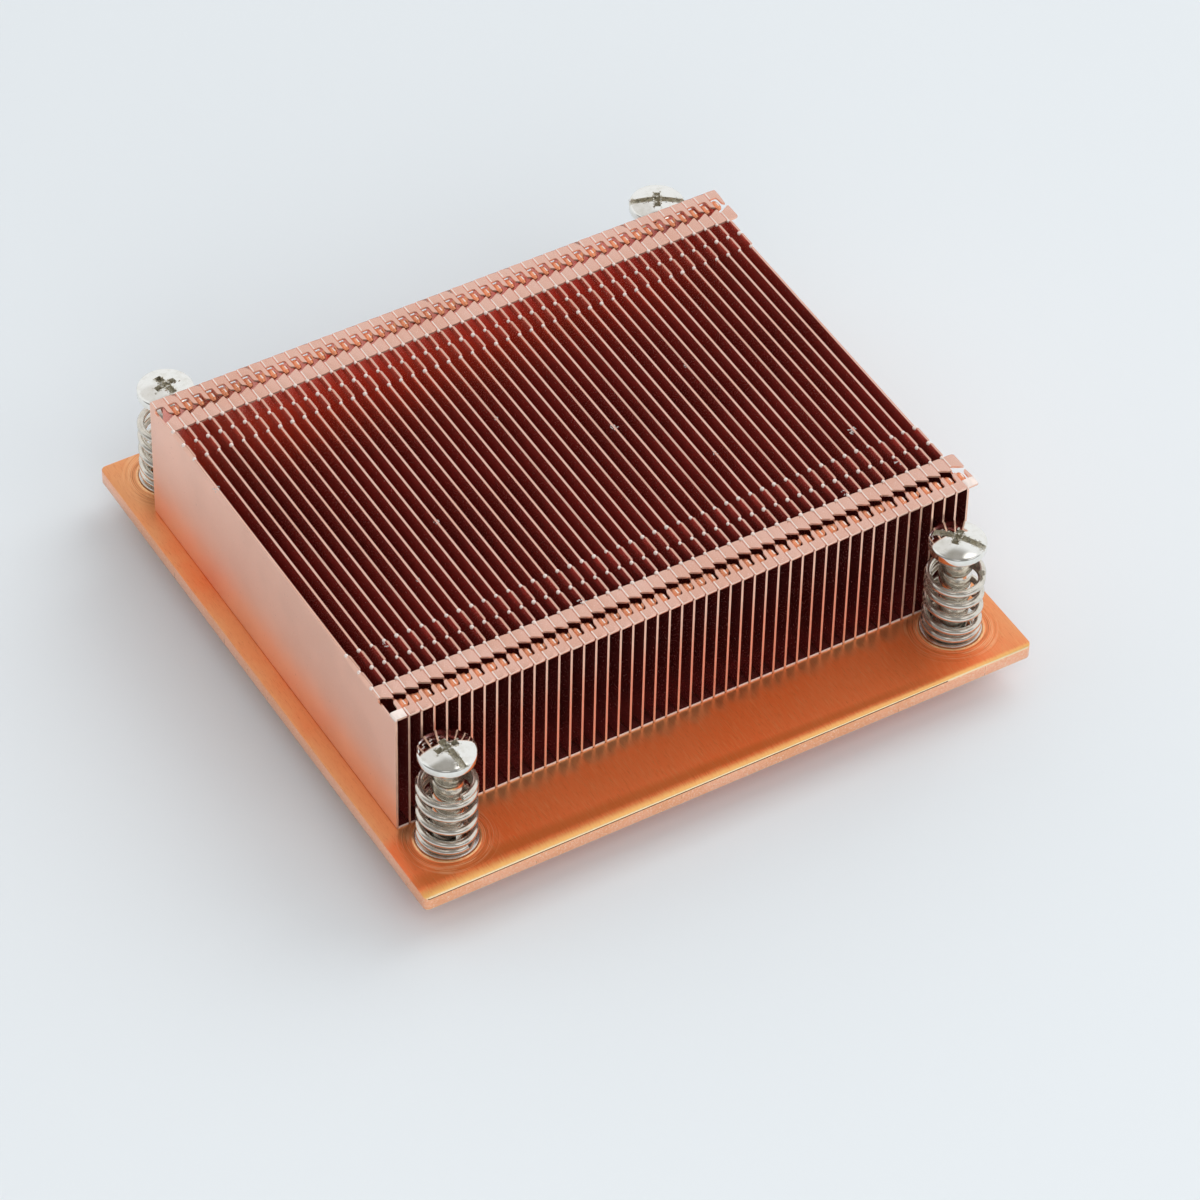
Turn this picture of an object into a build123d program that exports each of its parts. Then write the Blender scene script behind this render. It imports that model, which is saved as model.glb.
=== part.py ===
from build123d import *
import os
from math import cos, radians, sin

# Passive heatsink of folded copper fins on a flat copper base, held by four captive spring screws.
# Millimetres. +X runs across the fins, +Y along them, +Z up. The origin is the middle of the contact
# face under the base, which is also the middle of the screw pattern.

# Base plate
plate_width = 90.0
plate_depth = 88.6
plate_thickness = 2.3
plate_offset_y = -1.1
pedestal_width = 38.0
pedestal_depth = 38.0
pedestal_height = 4.7
pedestal_corner = 0.8

# Fin stack. The margins are from the plate's side edges to the first fin and to the last fin's tabs,
# and the clearances from the fins' ends to the washers of the screws in front and behind.
fin_count = 48
paired_fins = 4
stack_left_margin = 2.6
stack_right_margin = 1.8
fin_front_clearance = 0.1
fin_back_clearance = 1.2
fin_height = 19.7
fin_sheet = 0.3
fin_lap_gap = 0.04

# Folded tabs along the top of each fin, and the tongue that locks into the next one
tab_width = 6.2
inner_prong_root = 1.75
inner_prong_tip = 2.65
outer_prong_root = 1.55
tongue_reach = 1.1
tongue_shoulder = 0.55
tongue_inner_side = 2.6
tongue_tip_side = 3.1
tongue_window_gap = 0.12

# Captive screws
screw_spacing_x = 75.0
screw_spacing_y = 75.0
head_radius = 3.8
head_rim_height = 1.1
head_crown_height = 0.7
head_crown_radius = 2.3
shank_radius = 2.15
shank_length = 16.85
shank_hole_clearance = 0.3
groove_radius = 1.15
groove_play = 0.05
thread_radius = 1.5
thread_length = 4.05
recess_width = 0.9
recess_depth = 0.6
recess_length = 4.4

# Retaining rings, snapped into the screws' grooves under the plate
ring_radius = 3.1
ring_thickness = 0.6
ring_grip_gap = 0.05
ring_mouth_width = 2.0

# Springs and the washers under them
washer_radius = 4.1
washer_hole_radius = 2.6
washer_thickness = 0.4
spring_wire = 1.0
spring_coil_radius = 3.5
spring_free_length = 10.4
spring_turns = 5.036
spring_end_turns = 1.0
spring_end_gap = 0.06
spring_top_angle = -87.5

# Flats that stand for the round of the rings, the washers and the spring wire
ring_sides = 24
spring_wire_sides = 5
spring_steps_per_turn = 8

plate_underside = pedestal_height
plate_top = plate_underside + plate_thickness
hole_radius = shank_radius + shank_hole_clearance
groove_top = plate_underside + groove_play
groove_bottom = plate_underside - ring_thickness - groove_play
screw_tip = groove_bottom - thread_length
head_seat = groove_top + shank_length
washer_top = plate_top + washer_thickness
fin_pitch = (plate_width - stack_left_margin - stack_right_margin) / fin_count
first_fin_x = stack_left_margin - plate_width / 2
fin_front_y = washer_radius + fin_front_clearance - screw_spacing_y / 2
fin_back_y = screw_spacing_y / 2 - washer_radius - fin_back_clearance
fin_length = fin_back_y - fin_front_y
tab_reach = fin_pitch - fin_lap_gap
screw_places = [
    ("front_left", -screw_spacing_x / 2, -screw_spacing_y / 2),
    ("front_right", screw_spacing_x / 2, -screw_spacing_y / 2),
    ("back_left", -screw_spacing_x / 2, screw_spacing_y / 2),
    ("back_right", screw_spacing_x / 2, screw_spacing_y / 2),
]


def base_plate():
    plate = Pos(0, plate_offset_y, plate_underside) * Box(
        plate_width, plate_depth, plate_thickness, align=(Align.CENTER, Align.CENTER, Align.MIN)
    )
    pedestal = Box(
        pedestal_width, pedestal_depth, pedestal_height, align=(Align.CENTER, Align.CENTER, Align.MIN)
    )
    pedestal = chamfer(pedestal.edges().filter_by(Axis.Z), pedestal_corner)
    body = plate + pedestal
    for name, x, y in screw_places:
        hole = Pos(x, y, plate_underside) * Cylinder(
            hole_radius, plate_thickness, align=(Align.CENTER, Align.CENTER, Align.MIN)
        )
        body -= hole
    return body


# Plan of one end's tabs, measured from the fin's outer face and from the tab's inner edge. The last fin
# has no window to reach into, so its prongs end without a tongue.
def tab_outlines(last):
    shoulder = fin_pitch + tongue_shoulder
    tip = fin_pitch + tongue_reach
    outer_root = tab_width - outer_prong_root
    inner = [(0, 0), (tab_reach, 0), (tab_reach, inner_prong_tip), (0, inner_prong_root)]
    tongue = [] if last else [(shoulder, tongue_inner_side), (tip, tongue_tip_side)]
    end = [(tab_reach, outer_root - tongue_window_gap), (tab_reach, tab_width), (0, tab_width)]
    outer = [(0, outer_root), *tongue, *end]
    return inner, outer


# The sheet of one fin: an upright web with a foot folded along its bottom edge.
def fin_web():
    profile = Polyline(
        (0, 0),
        (tab_reach, 0),
        (tab_reach, fin_sheet),
        (fin_sheet, fin_sheet),
        (fin_sheet, fin_height),
        (0, fin_height),
        close=True,
    )
    section = make_face(Plane.XZ * profile)
    return extrude(section, fin_length, dir=(0, 1, 0))


# The tabs at one end. They lie in the fin's top face with their inner edge towards the middle.
def fin_tabs(last):
    inner, outer = tab_outlines(last)
    tabs = Part()
    for outline in (inner, outer):
        plan = make_face(Polyline(*outline, close=True))
        tabs += Pos(0, 0, fin_height) * extrude(plan, fin_sheet, dir=(0, 0, -1))
    return tabs


# The window between the prongs, cut through the fold. Its sides follow the prongs.
def fin_window(last):
    inner, outer = tab_outlines(last)
    inner_side = inner_prong_root + (inner[2][1] - inner[3][1]) * fin_sheet / inner[2][0]
    outer_side = outer[0][1] + (outer[1][1] - outer[0][1]) * fin_sheet / outer[1][0]
    outline = [inner[3], (fin_sheet, inner_side), (fin_sheet, outer_side), outer[0]]
    plan = make_face(Polyline(*outline, close=True))
    return Pos(0, 0, fin_height) * extrude(plan, fin_sheet, dir=(0, 0, -1))


def folded_fin(last=False):
    fin = fin_web()
    back = Pos(0, fin_length - tab_width, 0)
    front = Pos(0, tab_width, 0)
    flip = Plane.XZ
    fin += back * fin_tabs(last) + front * mirror(fin_tabs(last), flip)
    fin -= back * fin_window(last) + front * mirror(fin_window(last), flip)
    return fin


def screw():
    rim_top = head_seat + head_rim_height
    crown = rim_top + head_crown_height
    profile = Polyline(
        (0, screw_tip),
        (thread_radius, screw_tip),
        (thread_radius, groove_bottom),
        (groove_radius, groove_bottom),
        (groove_radius, groove_top),
        (shank_radius, groove_top),
        (shank_radius, head_seat),
        (head_radius, head_seat),
        (head_radius, rim_top),
        (head_crown_radius, crown),
        (0, crown),
        close=True,
    )
    body = revolve(make_face(Plane.XZ * profile), Axis.Z)
    slot = Pos(0, 0, crown) * Box(
        recess_length, recess_width, recess_depth, align=(Align.CENTER, Align.CENTER, Align.MAX)
    )
    return body - slot - Rot(0, 0, 90) * slot


# A snap ring whose flats grip the groove, with a narrower mouth at one side.
def retaining_ring():
    plan = RegularPolygon(ring_radius, ring_sides)
    plan -= RegularPolygon(groove_radius + ring_grip_gap, 6, major_radius=False)
    plan -= Rectangle(ring_radius, ring_mouth_width, align=(Align.MIN, Align.CENTER))
    return Pos(0, 0, plate_underside - ring_thickness) * extrude(plan, ring_thickness)


def washer():
    plan = RegularPolygon(washer_radius, ring_sides) - RegularPolygon(washer_hole_radius, ring_sides)
    return Pos(0, 0, plate_top) * extrude(plan, washer_thickness)


# Height of the wire's middle below the top of the spring, after a number of turns from its top end.
def coil_drop(turn):
    end_drop = spring_wire + spring_end_gap
    active_turns = spring_turns - 2 * spring_end_turns
    active_pitch = (spring_free_length - spring_wire - 2 * end_drop) / active_turns
    first = min(turn, spring_end_turns)
    middle = min(max(turn - spring_end_turns, 0), active_turns)
    last = max(turn - spring_end_turns - active_turns, 0)
    return (first + last) / spring_end_turns * end_drop + middle * active_pitch


def spring():
    steps = round(spring_turns * spring_steps_per_turn)
    top = washer_top + spring_free_length - spring_wire / 2
    points = []
    for step in range(steps + 1):
        turn = spring_turns * step / steps
        angle = radians(spring_top_angle + 360 * turn)
        x = spring_coil_radius * cos(angle)
        y = spring_coil_radius * sin(angle)
        points.append(Vector(x, y, top - coil_drop(turn)))
    path = Polyline(*points)
    section = Plane(points[0], x_dir=(0, 0, 1), z_dir=points[1] - points[0]) * RegularPolygon(
        spring_wire / 2, spring_wire_sides
    )
    return sweep(section, path=path, transition=Transition.RIGHT)


def fin_nodes():
    single = fin_count - paired_fins
    nodes = []
    for number in range(1, single + 1):
        nodes.append(("fin_%02d" % number, [number]))
    for number in range(single + 1, fin_count, 2):
        nodes.append(("fins_%02d_%02d" % (number, number + 1), [number, number + 1]))
    return nodes


def write(name, solids):
    export_step(Compound(children=solids) if len(solids) > 1 else solids[0], "parts/%s.step" % name)


os.makedirs("parts", exist_ok=True)
write("base_plate", [base_plate()])

fin = folded_fin()
last_fin = folded_fin(last=True)
for name, numbers in fin_nodes():
    fins = []
    for number in numbers:
        place = Pos(first_fin_x + (number - 1) * fin_pitch, fin_front_y, plate_top)
        fins.append(place * (last_fin if number == fin_count else fin))
    write(name, fins)

captive_screw = screw()
ring = retaining_ring()
coil = spring()
for name, x, y in screw_places:
    write("screw_" + name, [Pos(x, y, 0) * captive_screw])
    write("retaining_ring_" + name, [Pos(x, y, 0) * ring])
    write("spring_" + name, [Pos(x, y, 0) * coil])
write("spring_washers", [Pos(x, y, 0) * washer() for name, x, y in screw_places])
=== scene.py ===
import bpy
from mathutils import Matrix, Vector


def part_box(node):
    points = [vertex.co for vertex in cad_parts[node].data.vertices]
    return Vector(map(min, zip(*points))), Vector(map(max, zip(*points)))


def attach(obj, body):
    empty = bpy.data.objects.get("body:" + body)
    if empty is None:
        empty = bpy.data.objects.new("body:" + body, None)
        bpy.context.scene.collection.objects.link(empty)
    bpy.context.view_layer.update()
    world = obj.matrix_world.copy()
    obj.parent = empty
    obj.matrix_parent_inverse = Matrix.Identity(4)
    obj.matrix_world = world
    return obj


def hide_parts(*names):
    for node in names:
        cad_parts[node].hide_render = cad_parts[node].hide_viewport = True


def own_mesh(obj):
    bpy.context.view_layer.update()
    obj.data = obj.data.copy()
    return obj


bl_info = {
    "name": "Folded Fin Heatsink",
    "version": (1, 0, 0),
    "blender": (4, 5, 0),
    "location": "3D View > Sidebar > Heatsink",
    "description": "Folded copper fins on a copper base with four captive spring screws",
    "category": "Object",
}

import math
import random

import bmesh
import bpy
from bpy.props import FloatProperty, FloatVectorProperty, IntProperty, PointerProperty
from bpy.types import Operator, Panel, PropertyGroup
from mathutils import Matrix, Vector

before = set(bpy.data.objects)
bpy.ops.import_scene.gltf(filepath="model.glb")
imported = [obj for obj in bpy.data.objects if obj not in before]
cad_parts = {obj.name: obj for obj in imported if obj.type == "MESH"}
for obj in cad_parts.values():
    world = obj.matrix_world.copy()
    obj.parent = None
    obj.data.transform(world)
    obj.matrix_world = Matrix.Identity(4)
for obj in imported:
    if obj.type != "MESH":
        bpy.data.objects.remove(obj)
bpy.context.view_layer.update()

# Shapes are built in millimetres and scaled to metres when they are finished.
MM = 0.001
CORNERS = ("front_left", "front_right", "back_left", "back_right")
FIN_NODES = sorted(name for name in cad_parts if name.startswith("fin"))


def box_mm(node):
    low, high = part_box(node)
    return low / MM, high / MM


def fin_numbers(node):
    return [int(part) for part in node.split("_")[1:]]


first_low, first_high = box_mm("fin_01")
plate_low, plate_high = box_mm("base_plate")
FIN_PITCH = box_mm("fin_02")[0].x - first_low.x
FIN_HEIGHT = first_high.z - first_low.z
FIN_LENGTH = first_high.y - first_low.y
FIN_COUNT = max(fin_numbers(FIN_NODES[-1]))
PLATE_TOP = first_low.z
RING_LOW, RING_HIGH = (corner.z for corner in box_mm("retaining_ring_front_left"))
PLATE_UNDER = RING_HIGH

# Sizes in millimetres, most of them as in the solids.
LAP_GAP = 0.04
PEDESTAL_HALF = 19.0
PEDESTAL_CORNER = 0.8
PEDESTAL_BREAK = 0.12
PLATE_HOLE = 2.45
SHANK_RADIUS = 2.15
THREAD_RADIUS = 1.5
GROOVE_RADIUS = 1.15
HEAD_HEIGHT = 1.8
WASHER_HOLE = 2.6
WASHER_RADIUS = 4.1
RING_RADIUS = 3.1
RING_GAP = 0.05
RING_MOUTH_HALF = 0.9
SPRING_END_GAP = 0.06

# Places on the plate, in millimetres: half the side of the square patch round each washer, the distance from the
# plate's middle beyond which its sharp edges are its rim, and where the painted shade line under the front roll ends.
SEAT_HALF = 5.45
RIM_FROM = 43.0
SHADE_LINE_END = 30.0
# How far under its head a screw's neck gets the near-white neck material, a painted bright reflection, in millimetres.
NECK_SHOWN = 5.0

# The places of the materials on each piece. The first, 0, is the material of what isn't named here.
# On the plate, the seat lip material is a painted highlight and the third is a painted shade line.
SHEARED, SEAT_LIP_HIGHLIGHT, SHADE_LINE = range(1, 4)
# On the fins, the web material is painted shade, the tongue material a painted reflection and the highlight material a
# painted highlight.
WEB, CUT_EDGE, OUTER, TONGUE_REFLECTION, PAINTED_HIGHLIGHT, DUSTY = range(1, 7)
# The neck material is painted near-white as a bright reflection.
RECESS, NECK = range(1, 3)


def length(name, description, default, high=0.2):
    return FloatProperty(
        name=name, description=description, default=default, min=0.0, max=high, unit="LENGTH", precision=5
    )


def share(name, description, default, high=1.0):
    return FloatProperty(
        name=name, description=description, default=default, min=0.0, max=high, subtype="FACTOR"
    )


def angle(name, description, degrees):
    return FloatProperty(name=name, description=description, default=math.radians(degrees), subtype="ANGLE")


def power(name, description, default):
    return FloatProperty(
        name=name, description=description, default=default, min=0.0, max=50.0, unit="POWER"
    )


def colour(name, description, default):
    return FloatVectorProperty(
        name=name, description=description, default=default, size=3, subtype="COLOR", min=0.0, max=1.0
    )


# ---------------------------------------------------------------- settings


class HeatsinkPlateSettings(PropertyGroup):
    edge_round: length("Edge round", "Radius of the plate's cut edges", 0.00014)
    roll_width: length("Edge roll width", "Width of the burnished roll along the front edge, at its left end", 0.0015)
    roll_end: share("Roll end", "Share of that width at its right end", 0.36)
    roll_depth: length("Edge roll depth", "How far the roll drops at the front edge", 0.00026)
    corner_round: length("Corner round", "Radius of the plate's corners", 0.0008)
    lip_radius: length("Seat lip radius", "Radius of the copper lip pushed up round each washer", 0.00424)
    lip_height: length("Seat lip height", "Height of that lip over the plate", 0.00014)
    copper: colour("Copper", "Colour of the brushed copper plate", (0.90, 0.385, 0.165))
    # The stain colour is also painted on the plate's front margin as the fins' reflection.
    stain: colour("Stain", "Colour of its darker, older patches", (1.0, 0.165, 0.03))
    side: colour("Side", "Colour of the plate's cut sides", (1.0, 0.51, 0.32))
    # Painted highlight: the gold of the front roll.
    highlight_tone: colour("Highlight", "Colour of the painted highlight on the front roll", (1.0, 0.60, 0.19))
    # Painted shade: the dark line along the lower face of the front edge's round.
    shade_line: colour("Shade line", "Colour of the dark line under that roll", (0.17, 0.055, 0.016))


class HeatsinkFinSettings(PropertyGroup):
    sheet: length("Sheet", "Thickness of the fin sheet", 0.0003)
    fold_radius: length("Fold radius", "Outer radius of the folds", 0.00032)
    edge_break: length("Edge break", "Width of the broken edge round each sheet", 0.00004)
    tab_width: length("Tab width", "Width of the folded tabs, along the fin", 0.0062)
    end_round: length("End round", "Round of the sheared ends of the tabs and feet", 0.00013)
    tongue_dip: length("Tongue dip", "How deep a tongue is pressed into the next fin's window", 0.00040)
    lip_lean: length("Lip lean", "How far the top edge leans between the nubs", 0.00026)
    lip_depth: length("Lip depth", "Depth of the leaning lip", 0.0007)
    nub_radius: length("Nub radius", "Radius of the small nubs on the top edge", 0.00028)
    copper: colour("Copper", "Colour of the rolled copper sheet", (0.84, 0.51, 0.405))
    stain: colour("Stain", "Colour of its darker, older patches", (0.80, 0.45, 0.34))
    # Painted shade: the webs between the fins are a darker, redder copper for the shade in the narrow gaps; the next
    # colour is a painted glow of reflected light at their back ends.
    web: colour("Web", "Colour of the darker webs between the fins", (0.80, 0.135, 0.115))
    glow: colour("Web glow", "Colour of the painted glow at the webs' back ends", (0.98, 0.30, 0.18))
    edge: colour("Cut edge", "Colour of the cut edges", (1.0, 0.62, 0.47))
    side: colour("Side", "Colour of the two outer faces", (0.98, 0.57, 0.43))
    # Painted reflection: the tongues' bent sides are a redder copper for the copper walls mirrored in them.
    pressed: colour("Pressed", "Colour of the bent sides of the tongues", (0.95, 0.36, 0.18))
    # Painted highlight on the folds, the rolled-over ends, the feet's front edges, the nubs, the tongues' middles and
    # the dented corners.
    highlight_tone: colour("Highlight", "Colour of the rolled-over ends and the nubs", (1.0, 0.85, 0.77))
    window_depth: length("Window depth", "How far the windows reach down into the webs", 0.0004)


class HeatsinkScrewSettings(PropertyGroup):
    head_radius: length("Head radius", "Radius of the domed head", 0.0038)
    dome_drop: length("Dome drop", "Height of the dome over the head's side", 0.0007)
    slot_width: length("Slot width", "Width of the slot", 0.00110)
    slot_depth: length("Slot depth", "Depth of the slot at the middle of the head", 0.00075)
    thread_pitch: length("Thread pitch", "Height between two turns of the thread", 0.0005)
    thread_depth: length("Thread depth", "Depth of the thread", 0.0003)
    nickel: colour("Nickel", "Colour of the polished nickel plating", (0.93, 0.91, 0.86))
    bare: colour("Bare recess", "Colour of the dull metal inside the recess", (0.72, 0.66, 0.52))


class HeatsinkSpringSettings(PropertyGroup):
    wire: length("Wire", "Diameter of the spring wire", 0.0010)
    coil_radius: length("Coil radius", "Radius of the coil, to the middle of the wire", 0.0035)
    turns: FloatProperty(name="Turns", description="Number of turns", default=5.036, min=2.5, max=20.0)
    wire_sides: IntProperty(name="Wire sides", description="Flats round the wire", default=14, min=6, max=32)
    steps_per_turn: IntProperty(name="Steps", description="Steps in each turn", default=44, min=12, max=96)
    steel: colour("Steel", "Colour of the drawn spring wire", (0.80, 0.74, 0.65))
    washer_steel: colour("Washer steel", "Colour of the washers", (0.74, 0.73, 0.70))
    ring_steel: colour("Ring steel", "Colour of the retaining rings", (0.30, 0.30, 0.31))


class HeatsinkStageSettings(PropertyGroup):
    floor: colour("Floor", "Colour of the table", (0.795, 0.835, 0.862))
    sky: colour("Sky", "Colour of the back of the light tent", (0.95, 0.975, 1.0))
    roof: colour("Roof", "Colour of the tent overhead", (0.40, 0.39, 0.37))
    front: colour("Front of the tent", "Colour of the tent on the camera's side", (0.30, 0.30, 0.30))
    windows: FloatVectorProperty(
        name="Windows", description="Brightness of the soft windows behind, at the right and in front",
        default=(0.80, 1.5, 1.2), size=3, subtype="COLOR", min=0.0
    )
    tent: share("Tent light", "Strength of the light tent", 0.92, 4.0)
    key: power("Key light", "Power of the large lamp", 4.8)
    fill: power("Fill light", "Power of the front lamp", 7.4)
    low: power("Low light", "Power of the low lamp in front", 1.7)
    strip: share("Strip light", "Brightness of the strip over the camera", 1.1, 4.0)
    camera_distance: length("Camera distance", "Distance from the camera to what it aims at", 0.76293, 5.0)
    camera_lens: FloatProperty(
        name="Lens", description="Focal length of the camera", default=174.43, min=10.0, max=500.0, unit="CAMERA"
    )
    camera_turn: angle("Turn", "Angle of the camera round the heatsink", -31.5049)
    camera_rise: angle("Rise", "Angle of the camera over the table", 45.1015)
    camera_roll: angle("Roll", "Tilt of the camera", 1.4517)


# ---------------------------------------------------------------- materials


def arithmetic(operation):
    """One operator of Value, and its reflected form."""
    def forward(value, other):
        return value.graph.math(operation, value, other)

    def reflected(value, other):
        return value.graph.math(operation, other, value)

    return forward, reflected


class Value:
    """A node's output that can be used in arithmetic."""

    def __init__(self, graph, socket):
        self.graph = graph
        self.socket = socket

    __add__, __radd__ = arithmetic("ADD")
    __sub__, __rsub__ = arithmetic("SUBTRACT")
    __mul__, __rmul__ = arithmetic("MULTIPLY")
    __truediv__, __rtruediv__ = arithmetic("DIVIDE")

    def between(self, low, high):
        """0 below low, 1 above high and smooth between them."""
        settings = {"interpolation_type": "SMOOTHSTEP"}
        return self.graph.value("ShaderNodeMapRange", settings, {"Value": self, "From Min": low, "From Max": high})


class Graph:
    """A tree of shader nodes."""

    def __init__(self, tree, coordinates):
        self.tree = tree
        self.place = self.value("ShaderNodeTexCoord", {}, {}, coordinates)

    def node(self, kind, settings, inputs):
        made = self.tree.nodes.new(kind)
        for key, setting in settings.items():
            if key == "stops":
                ramp = made.color_ramp
                while len(ramp.elements) < len(setting):
                    ramp.elements.new(1.0)
                for element, (position, shade) in zip(ramp.elements, setting):
                    element.position = position
                    element.color = (*shade, 1.0)
            else:
                setattr(made, key, setting)
        for key, given in inputs.items():
            self.feed(made.inputs[key], given)
        return made

    def feed(self, socket, given):
        if isinstance(given, Value):
            self.tree.links.new(given.socket, socket)
        elif socket.type == "RGBA" and len(given) == 3:
            socket.default_value = (*given, 1.0)
        else:
            socket.default_value = given

    def value(self, kind, settings, inputs, output=0):
        return Value(self, self.node(kind, settings, inputs).outputs[output])

    def math(self, operation, *terms):
        return self.value("ShaderNodeMath", {"operation": operation}, dict(enumerate(terms)))

    def noise(self, scale, detail=2.0, rough=0.5, place=None, bend=0.0):
        shape = {"Scale": scale, "Detail": detail, "Roughness": rough, "Distortion": bend}
        return self.value("ShaderNodeTexNoise", {}, {"Vector": place or self.place, **shape})

    def streaks(self, scale, detail=2.0, rough=0.6, turn=(0.0, 0.0, 0.0)):
        """Noise with a scale of its own along each axis."""
        place = self.value("ShaderNodeMapping", {}, {"Vector": self.place, "Scale": scale, "Rotation": turn})
        return self.noise(1.0, detail, rough, place)

    def mix(self, factor, first, second, blend="MIX"):
        settings = {"data_type": "RGBA", "blend_type": blend}
        return self.value("ShaderNodeMix", settings, {0: factor, 6: first, 7: second}, 2)

    def part(self, axis):
        """One coordinate of the place on the object."""
        return self.value("ShaderNodeSeparateXYZ", {}, {"Vector": self.place}, axis)

    def bump(self, height, strength, distance):
        return self.value("ShaderNodeBump", {}, {"Height": height, "Strength": strength, "Distance": distance})


class Finish(Graph):
    """A material of one Principled shader."""

    def __init__(self, name, metallic=1.0):
        self.material = bpy.data.materials.new(name)
        self.material.use_nodes = True
        self.shader = self.material.node_tree.nodes["Principled BSDF"]
        self.shader.inputs["Metallic"].default_value = metallic
        super().__init__(self.material.node_tree, "Object")

    def finish(self, base, roughness, normal):
        self.feed(self.shader.inputs["Base Color"], base)
        self.feed(self.shader.inputs["Roughness"], roughness)
        self.feed(self.shader.inputs["Normal"], normal)
        return self.material


def shaded(tone, level):
    return [part * level for part in tone]


def rolled_copper(name, tone, dark, gloss, grain_depth, metallic=1.0, back_glow=None):
    """Thin copper sheet with a satin face, faint rolling lines and small brown freckles; given a back glow, its front
    ends are darkened as painted shade and its back ends lightened as a painted glow of reflected light.
    """
    graph = Finish(name, metallic)
    clouds = graph.noise(110.0, 3.0)
    lines = graph.streaks((6000.0, 160.0, 6000.0), 2.0, 0.5)
    grain = graph.noise(5200.0, 2.0, 0.6)
    freckles = graph.noise(1500.0, 3.0, 0.65).between(0.66, 0.74)
    mixed = graph.mix(clouds.between(0.35, 0.7), tone, dark)
    if back_glow:
        along = graph.part("Y") + clouds * 0.006
        # Painted shade at the webs' front ends.
        mixed = graph.mix(1 - along.between(-0.030, -0.016), mixed, shaded(dark, 0.5))
        # A painted glow of reflected light, strongest towards the webs' back ends and at the left.
        left = 1 - graph.part("X").between(-0.005, 0.035) * 0.6
        mixed = graph.mix(along.between(-0.028, -0.018) * 0.15 + along.between(0.008, 0.032) * left * 0.5, mixed, back_glow)
    mixed = graph.mix(freckles * 0.35, mixed, shaded(dark, 0.6))
    # Painted glints: pale specks on the grain.
    mixed = graph.mix(grain.between(0.55, 0.75) * 0.22, mixed, (1.0, 0.86, 0.80))
    roughness = gloss + clouds * 0.04 + grain * 0.08 + freckles * 0.08
    normal = graph.bump(grain * 0.6 + lines * 0.4, grain_depth, 0.00003)
    return graph.finish(mixed, roughness, normal)


def brushed_copper(settings):
    """Thick copper plate brushed from front to back, with a gilded front roll and scuffs round the washers."""
    graph = Finish("brushed copper plate")
    clouds = graph.noise(75.0, 3.0)
    brush = graph.streaks((9500.0, 420.0, 900.0), 3.0)
    fine = graph.streaks((15000.0, 900.0, 2500.0))
    specks = graph.noise(2600.0, 2.0, 0.6).between(0.72, 0.78)
    along = graph.part("Y") + graph.streaks((520.0, 90.0, 300.0), 2.0, 0.5) * 0.004
    # Painted reflection: the front margin in front of the fins, but not at its right end, is painted a darker, redder
    # copper for the fins' fronts mirrored in it.
    fin_reflection = (1 - along.between(-0.0345, -0.0315)) * (1 - graph.part("X").between(0.036, 0.045))
    front, left, right = plate_low.y * MM, plate_low.x * MM, plate_high.x * MM
    taper = settings.roll_width * (settings.roll_end - 1) / (right - left)
    inward = (graph.part("Y") - front) / ((graph.part("X") - left) * taper + settings.roll_width)
    # Painted highlight: a gold band over the front roll and a cream line along the edge.
    roll_highlight = 1 - (inward + fine * 1.1).between(0.7, 1.9)
    edge_highlight = 1 - (inward + fine * 0.15).between(0.16, 0.3)
    # Painted shade: a dark brown band just behind the front roll, fading out at the right end.
    roll_shade = (inward + fine * 0.6).between(1.3, 1.9) * (1 - inward.between(1.9, 3.2))
    roll_shade = roll_shade * (1 - graph.part("X").between(0.02, 0.035))
    corner_x, corner_y = (value * MM for value in screw_places()["back_right"])
    across = graph.math("ABSOLUTE", graph.part("X")) - corner_x
    beside = graph.math("ABSOLUTE", graph.part("Y")) - corner_y
    away = graph.math("SQRT", across * across + beside * beside)
    round_washer = graph.value("ShaderNodeCombineXYZ", {}, {"X": away * 9000, "Y": across * 160, "Z": beside * 160})
    arcs = graph.noise(1.0, 2.0, 0.6, round_washer)
    scuffs = 1 - away.between(0.0050, 0.0072)
    tone_with_reflection = graph.mix(fin_reflection * 0.75, settings.copper, settings.stain)
    tone = graph.mix(clouds.between(0.4, 0.75) * 0.5, tone_with_reflection, settings.stain)
    tone = graph.mix(brush.between(0.48, 0.72) * 0.26, tone, (1.0, 0.52, 0.20))
    tone = graph.mix(fine.between(0.56, 0.7) * 0.4, tone, (0.60, 0.13, 0.03))
    tone = graph.mix(roll_shade * 0.5, tone, (0.52, 0.12, 0.015))
    tone = graph.mix(arcs.between(0.54, 0.66) * scuffs * 0.7, tone, (1.0, 0.66, 0.36))
    tone = graph.mix((1 - arcs.between(0.34, 0.46)) * scuffs * 0.6, tone, (0.40, 0.11, 0.03))
    # The painted highlights of the front roll.
    tone = graph.mix(roll_highlight * 0.85, tone, settings.highlight_tone)
    tone = graph.mix(edge_highlight, tone, (1.0, 0.80, 0.52))
    tone = graph.mix(specks * 0.5, tone, (0.42, 0.17, 0.08))
    # Less metal sheen under the painted reflection and under the painted edge highlight.
    graph.feed(graph.shader.inputs["Metallic"], 0.74 - fin_reflection * 0.3 - edge_highlight * 0.2)
    roughness = 0.24 + brush * 0.10 + clouds * 0.06
    normal = graph.bump(brush * 0.6 + fine * 0.4, 0.5, 0.00004)
    return graph.finish(tone, roughness, normal)


def painted_edge_tone(name, tone, dark, metallic=0.6):
    """Copper painted bright along an edge as a highlight, or painted dark beside it as a shade line."""
    graph = Finish(name, metallic)
    mottling = graph.streaks((2600.0, 900.0, 2600.0))
    grain = graph.noise(6000.0, 2.0, 0.6)
    mixed = graph.mix(mottling.between(0.35, 0.7), tone, dark)
    return graph.finish(mixed, 0.16 + grain * 0.14, graph.bump(grain, 0.3, 0.00003))


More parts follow.
